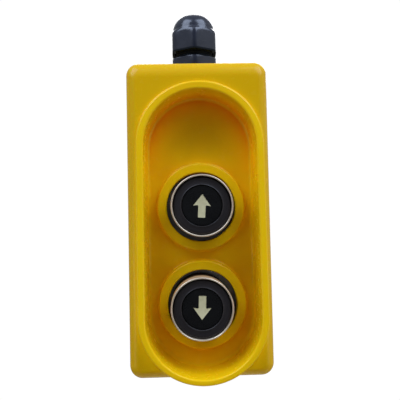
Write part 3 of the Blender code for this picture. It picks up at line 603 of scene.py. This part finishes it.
def arrow_outline(direction, grow=0.0, fillet=0.35):
    """Arrow about its middle, pushed outwards by grow, its corners slightly rounded."""
    h, w, a, s = ARROW_H / 2, ARROW_W / 2, ARROW_HEAD, ARROW_SHAFT / 2
    pts = [Vector(p) for p in ((0, h), (-w, h - a - 0.1), (-s - 0.35, h - a + 0.25), (-s, h - a - 0.15), (-s, -h), (s, -h), (s, h - a - 0.15), (s + 0.35, h - a + 0.25), (w, h - a - 0.1))]
    out = []
    n = len(pts)
    for i in range(n):
        p0, p1, p2 = pts[i - 1], pts[i], pts[(i + 1) % n]
        d1, d2 = (p1 - p0).normalized(), (p2 - p1).normalized()
        n1, n2 = Vector((d1.y, -d1.x)), Vector((d2.y, -d2.x))
        m = (n1 + n2).normalized()
        out.append(p1 + m * (grow / max(m.dot(n1), 0.45)))
    pts, out = out, []
    for i in range(n):
        p0, p1, p2 = pts[i - 1], pts[i], pts[(i + 1) % n]
        e = min(0.22, (p1 - p0).length * 0.3, (p2 - p1).length * 0.3)
        a0, a2 = p1 + (p0 - p1).normalized() * e, p1 + (p2 - p1).normalized() * e
        for k in range(5):
            t = k / 4
            out.append(a0 * (1 - t) ** 2 + p1 * 2 * t * (1 - t) + a2 * t ** 2)
    pts = [(p.x, p.y * direction) for p in out]
    if direction < 0:
        pts.reverse()
    return pts


def arrow_ring(key, direction, y, grow=0.0):
    a = RAD(ARROW_TILT[key])
    x, z = OPERATOR_X[key], BUTTON_Z[key] + ARROW_SHIFT[key]
    return [(x + px * math.cos(a) + pz * math.sin(a), y, z - px * math.sin(a) + pz * math.cos(a)) for px, pz in arrow_outline(direction, grow)]


def coil(name, r, wire, y0, y1, turns, x, z, sides=12, per_turn=48):
    rings = []
    steps = int(turns * per_turn)
    for k in range(steps + 1):
        f = k / steps
        t = 2 * math.pi * turns * f
        g = smooth_step(0, 1, f) * 0.35 + f * 0.65
        radial = Vector((math.cos(t), 0, math.sin(t)))
        c = radial * r + Vector((x, y0 + wire + (y1 - y0 - 2 * wire) * g, z))
        rings.append([tuple(c + radial * wire * math.cos(2 * math.pi * s / sides) + Vector((0, 1, 0)) * wire * math.sin(2 * math.pi * s / sides))
                      for s in range(sides)])
    return loft(name, rings, angle=60)


def make_button(key, direction):
    x, z = OPERATOR_X[key], BUTTON_Z[key]
    c = (x, z)
    f = BEZEL_FRONT
    rear = PLATE_FRONT - 0.3 - 0.5 - 0.3
    group = key + "_button"

    lip = []
    for k in range(13):                    # rolled front edge of the sleeve
        a = math.pi * k / 12
        lip.append(((BEZEL_R + BEZEL_BORE) / 2 + (BEZEL_R - BEZEL_BORE) / 2 * math.cos(a), f + 0.45 - 0.45 * math.sin(a)))
    prof = [(BEZEL_BORE, rear), (BEZEL_R - 0.3, rear), (BEZEL_R, rear - 0.3), (BEZEL_R, f + 6.2), (BEZEL_R - 0.12, f + 6.0), (BEZEL_R - 0.12, f + 5.6), (BEZEL_R, f + 5.4)] + lip
    place(turned(key + "_sleeve", prof, centre=c, segs=192), key + "_bezel", "enclosure", BEZEL)

    # cap: wide soft shoulder, flat ring, fine ridge, pocket for the disc
    prof = [(0, f + 2.7), (DISC_R + 0.28, f + 2.7), (DISC_R + 0.28, f + 1.46), (DISC_R + 0.33, f + 1.22), (DISC_R + 0.46, f + 1.10), (DISC_R + 0.62, f + 1.18), (DISC_R + 0.85, f + 1.30)]
    for k in range(15):                    # a wide soft shoulder down to the sleeve
        a = math.pi / 2 * k / 14
        prof.append((12.0 + 1.5 * math.sin(a), f + 1.22 + 0.75 * (1 - math.cos(a))))
    prof += [(CAP_R, f + 11.0), (11.7, f + 11.0), (11.7, f + 4.2), (0, f + 4.2)]
    place(turned(key + "_button_cap", prof, centre=c, segs=192), key + "_cap", group, BLACK)

    d = [(0, f + 1.6), (DISC_R - 0.35, f + 1.6), (DISC_R - 0.16, f + 1.64), (DISC_R - 0.04, f + 1.76), (DISC_R, f + 1.95), (DISC_R, f + 2.4), (0, f + 2.4)]
    disc = turned(key + "_marking_disc", d, centre=c, segs=160)
    pocket = loft(key + "_pocket", [arrow_ring(key, direction, y, 0.03) for y in (f - 2, f + 6)])
    cut(disc, pocket)
    bake(disc, [pocket], angle=30)
    place(disc, key + "_disc", group, DISC)
    rings = []
    for grow, y in ((-0.24, f + 1.66), (-0.12, f + 1.62), (-0.04, f + 1.61), (0.0, f + 1.67), (0.0, f + 2.35)):
        rings.append(arrow_ring(key, direction, y, grow))
    place(loft(key + "_arrow_inlay", rings, angle=15), key + "_arrow", group, CREAM)

    prof = [(0, f + 4.5), (8.6, f + 4.5), (8.8, f + 4.7), (8.8, f + 5.8), (8.6, f + 6.0), (5.9, f + 6.0), (5.6, f + 6.3), (5.6, -13.5), (5.3, -13.2),
            (2.3, -13.2), (2.3, -9.4), (1.9, -9.0), (0, -9.0)]
    place(turned(key + "_push_stem", prof, centre=c, segs=64), key + "_plunger", group, WHITE)
    front = -25.0
    prof = [(6.0, front + 0.3), (6.3, front), (13.1, front), (13.4, front + 0.3), (13.4, rear), (10.9, rear)]
    y = rear + 1.2
    while y < -9.5:
        prof += [(10.9, y), (10.55, y + 0.5)]
        y += 1.0
    prof += [(10.9, -8.3), (10.6, -8.0), (6.0, -8.0), (6.0, -15.8), (8.0, -15.8), (8.0, -18.2), (6.0, -18.2)]
    place(turned(key + "_operator", prof, centre=c, segs=96), key + "_operator_body", "enclosure", HIDDEN_BLACK)

    spring = coil(key + "_coil", 7.3, 0.55, f + 6.3, front - 0.3, 4.0, x, z)
    place(spring, key + "_return_spring", "enclosure", SPRINGY)
    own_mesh(spring)
    spring = coil(key + "_small_coil", 1.7, 0.35, 0.9, 10.7, 4.0, x, z, per_turn=36)
    place(spring, key + "_contact_spring", "enclosure", SPRINGY)
    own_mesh(spring)
    for tag, s in (("lower", -1), ("upper", 1)):
        place(make_screw("%s_%s_clamp_screw" % (key, tag), x, z + s * 13.4, 15.6, 8.0, 1.4, 2.7, 1.8, 0.7),
              "%s_%s_terminal_screw" % (key, tag), "enclosure", ZINC)


# ---- gland -------------------------------------------------------------------------

def make_gland():
    b = CAP_BOTTOM
    prof = [(("hex", 13.5), b), (("hex", 13.66), b + 0.06), (("hex", 13.76), b + 0.2), (("hex", 13.86), b + 0.55), (("hex", 14.2), b + 1.4),
            (("hex", 14.6), -16.0), (("hex", 14.4), -12.0), (("hex", 13.9), -10.3), (("hex", 13.5), -9.7), (("hex", 13.0), -9.1), (("hex", 12.5), -8.55), (("hex", 12.05), -8.1),
            (11.62, -7.6), (11.53, -7.25), (11.49, -6.89), (11.38, -6.12), (11.19, -5.33), (10.93, -4.55), (10.61, -3.79), (10.23, -3.07), (9.8, -2.4), (9.34, -1.8), (8.85, -1.27),
            (8.36, -0.82), (7.87, -0.47), (7.41, -0.21), (7.0, -0.05), (6.65, 0.0), (6.4, -0.08), (6.2, -0.3), (6.1, -0.65), (6.1, -2.4), (9.1, -6.0), (10.6, -9.8),
            (10.6, b + 0.3), (10.9, b)]
    place(polar("domed_cap", prof, segs=240), "gland_cap", "gland_cap_nut", NAVY)
    prof = [(("hex", 13.0), FLANGE_BOTTOM), (("hex", 13.5), FLANGE_BOTTOM + 0.25), (("hex", 13.72), FLANGE_BOTTOM + 0.6), (("hex", 13.75), FLANGE_TOP - 0.35),
            (("hex", 13.6), FLANGE_TOP - 0.12), (("hex", 13.3), FLANGE_TOP - 0.02), (("hex", 12.9), FLANGE_TOP), (10.3, FLANGE_TOP), (9.75, FLANGE_TOP + 0.25)]
    z = FLANGE_TOP + 0.6
    while z < -14.4:
        prof += [(9.75, z), (10.18, z + 0.5), (10.18, z + 0.75), (9.75, z + 1.2)]
        z += 1.5
    prof += [(9.9, -13.2), (9.7, -13.0), (8.9, -13.0), (8.9, -25.3), (7.6, -26.8), (7.6, THREAD_END), (9.3, THREAD_END)]
    z = THREAD_END + 0.5
    while z < FLANGE_BOTTOM - 1.8:
        prof += [(9.45, z), (THREAD_R, z + 0.5), (THREAD_R, z + 0.75), (9.45, z + 1.2)]
        z += 1.5
    prof += [(9.6, FLANGE_BOTTOM - 0.2), (9.6, FLANGE_BOTTOM)]
    place(polar("gland_hexagon", prof, segs=240), "gland_body", "enclosure", NAVY)
    place(turned("sealing_washer", [(10.3, -29.45), (12.8, -29.45), (12.97, -29.65), (13.0, -29.9), (12.97, -30.15), (12.8, -30.35), (10.3, -30.35)], axis="Z", segs=96),
          "gland_washer", "enclosure", RUBBER)
    claw = turned("clamping_claw", [(7.2, -22.8), (8.6, -22.8), (8.6, -12.3), (8.45, -8.8), (8.3, -7.3), (8.0, -7.0), (7.4, -7.0), (7.2, -7.3)], axis="Z", segs=96)
    used = []
    for k in range(3):
        a = math.pi * k / 3 + RAD(15)
        u, v = Vector((math.cos(a), math.sin(a))), Vector((-math.sin(a), math.cos(a)))
        pts = [u * 12 + v * 0.7, -u * 12 + v * 0.7, -u * 12 - v * 0.7, u * 12 - v * 0.7]
        used.append(cut(claw, loft("claw_slot_%d" % k, [[(p.x, p.y, h) for p in pts] for h in (-14.8, 2.0)])))
    bake(claw, used, angle=30)
    place(claw, "gland_claw", "enclosure", NAVY)
    prof = [(CABLE_R, -20.3), (6.8, -20.3), (6.8, -8.4), (6.6, -7.8), (6.2, -7.45), (5.2, -7.4), (4.6, -7.55), (4.2, -7.9), (CABLE_R, -8.5)]
    h = -10.3
    while h > -19.3:                       # gripping ribs in the seal's bore
        prof += [(CABLE_R, h), (CABLE_R + 0.3, h - 0.5), (CABLE_R, h - 1.0)]
        h -= 1.8
    place(turned("cable_seal", prof, axis="Z", segs=96), "gland_seal", "enclosure", RUBBER)


make_housing()
make_cover()
for i, (x, z) in enumerate(COVER_SCREWS):
    place(make_screw("cover_fixing_%d" % (i + 1), x, z, BACK_Y - 2.4, 2.5, 1.5, 3.3, 2.1, 1.1), "cover_screw_%d" % (i + 1), "enclosure", ZINC)
for i, (x, z) in enumerate(PLATE_SCREWS):
    place(make_screw("plate_fixing_%d" % (i + 1), x, z, PLATE_FRONT + PLATE_T + 0.3, -23.8, 1.3, 2.7, 1.9, 0.9), "plate_screw_%d" % (i + 1), "enclosure", ZINC)
make_button("up", 1)
make_button("down", -1)
make_gland()

# the CAD nodes that stay: inner pieces whose shape is already right
kept = {"mounting_plate": ZINC, "earth_screw": BRASSY, "earth_nut": BRASSY, "gland_locknut": NAVY}
for key in BUTTON_Z:
    kept.update({key + "_panel_gasket": RUBBER, key + "_stem_seal": RUBBER, key + "_ring_nut": ZINC, key + "_contact_block": GREY,
                 key + "_contact_slider": WHITE, key + "_contact_bridge": BRASSY, key + "_lower_terminal": BRASSY, key + "_upper_terminal": BRASSY})
for name, mat in kept.items():
    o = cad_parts[name]
    o.data.materials.clear()
    o.data.materials.append(mat)

# ---- stage, light and camera ---------------------------------------------------------
sc = bpy.context.scene
sc.view_settings.view_transform = 'Standard'
sc.view_settings.look = 'None'
sc.view_settings.exposure = 0.0
sc.view_settings.gamma = 1.0

bm = bmesh.new()
bmesh.ops.create_circle(bm, cap_ends=True, segments=96, radius=0.95)
floor = to_object(bm, "floor", smooth=False)
floor.location = (0, 0, -1.2)
pale = bpy.data.materials.new("pale_floor")
pale.use_nodes = True
p = pale.node_tree.nodes["Principled BSDF"]
p.inputs["Base Color"].default_value = (0.92, 0.92, 0.91, 1)
p.inputs["Emission Color"].default_value = (1, 1, 0.99, 1)
p.inputs["Emission Strength"].default_value = 0.16
p.inputs["Roughness"].default_value = 0.9
floor.data.materials.append(pale)

# the surroundings: white behind the station, pale above, dim in front and below
world = bpy.data.worlds.new("studio")
sc.world = world
world.use_nodes = True
wt = world.node_tree
bg = wt.nodes["Background"]
co = wt.nodes.new("ShaderNodeTexCoord")
sep = wt.nodes.new("ShaderNodeSeparateXYZ")
wt.links.new(co.outputs["Generated"], sep.inputs["Vector"])


def zone(axis, lo, hi, a, b):
    mr = wt.nodes.new("ShaderNodeMapRange")
    mr.interpolation_type = 'SMOOTHSTEP'
    for k, v in (("From Min", lo), ("From Max", hi), ("To Min", a), ("To Max", b)):
        mr.inputs[k].default_value = v
    wt.links.new(sep.outputs[axis], mr.inputs["Value"])
    return mr.outputs["Result"]


def total(a, b, op='ADD'):
    n = wt.nodes.new("ShaderNodeMath")
    n.operation = op
    wt.links.new(a, n.inputs[0])
    wt.links.new(b, n.inputs[1])
    return n.outputs["Value"]


# what lights the station; the backdrop itself is plain white
FRONT, ROUND, SKY, LEFT, RIGHT = 0.05, 0.30, 0.14, 0.04, 0.32
sides = total(zone("X", 0.45, 0.95, 0.0, RIGHT), zone("X", -0.95, -0.45, LEFT, 0.0))
above = total(zone("Z", -0.35, 0.1, 0.28, 1.0), zone("Y", -0.97, -0.72, FRONT, ROUND), 'MULTIPLY')
glow = total(total(above, zone("Z", 0.3, 0.9, 0.0, SKY)), sides)
bg.inputs["Color"].default_value = (0.94, 0.98, 1.0, 1)
wt.links.new(glow, bg.inputs["Strength"])
white = wt.nodes.new("ShaderNodeBackground")
white.inputs["Color"].default_value = (1, 1, 1, 1)
white.inputs["Strength"].default_value = 1.02
seen = wt.nodes.new("ShaderNodeLightPath")
either = wt.nodes.new("ShaderNodeMixShader")
wt.links.new(seen.outputs["Is Camera Ray"], either.inputs[0])
wt.links.new(bg.outputs[0], either.inputs[1])
wt.links.new(white.outputs[0], either.inputs[2])
wt.links.new(either.outputs[0], wt.nodes["World Output"].inputs["Surface"])


def area(name, where, at, size, size_y, power, colour=(1, 1, 1)):
    light = bpy.data.lights.new(name, 'AREA')
    light.shape = 'RECTANGLE'
    light.size, light.size_y = size, size_y
    light.energy = power
    light.color = colour
    o = bpy.data.objects.new(name, light)
    sc.collection.objects.link(o)
    o.location = where
    o.rotation_euler = (Vector(at) - Vector(where)).to_track_quat('-Z', 'Y').to_euler()
    return o


MID = (0, 0, -0.11)
COOL = (0.85, 1.0, 1.32)
WARM = (1.12, 0.95, 0.92)
area("key_left", (-0.465, -0.39, 0.61), MID, 0.56, 0.58, 4.9, COOL)
area("key_right", (0.465, -0.39, 0.61), MID, 0.56, 0.58, 4.9, COOL)
area("back_fill", (0.15, 0.80, 0.42), MID, 0.7, 0.5, 4.5, (1.0, 1.0, 1.04))
area("side_left", (-0.78, -0.42, -0.25), MID, 0.40, 0.34, 0.65, WARM)
area("side_right", (0.78, -0.42, -0.25), MID, 0.40, 0.34, 0.65, WARM)

cam_data = bpy.data.cameras.new("camera")
cam = bpy.data.objects.new("camera", cam_data)
sc.collection.objects.link(cam)
cam_data.sensor_width = 36.0
cam_data.lens = 549.2 * 36.0 / 400.0
cam_data.clip_start, cam_data.clip_end = 0.01, 50.0
yaw, pitch, roll = RAD(1.68), RAD(3.04), RAD(-1.2)
forward = Vector((math.sin(yaw) * math.cos(pitch), math.cos(yaw) * math.cos(pitch), math.sin(pitch)))
side = Vector((math.cos(yaw), -math.sin(yaw), 0))
up = side.cross(forward)
side, up = side * math.cos(roll) + up * math.sin(roll), up * math.cos(roll) - side * math.sin(roll)
m = cam.matrix_world.to_3x3()
m.col[0], m.col[1], m.col[2] = side, up, -forward
cam.matrix_world = m.to_4x4()
cam.location = (-0.00725, -0.3006, -0.11688)
sc.camera = cam
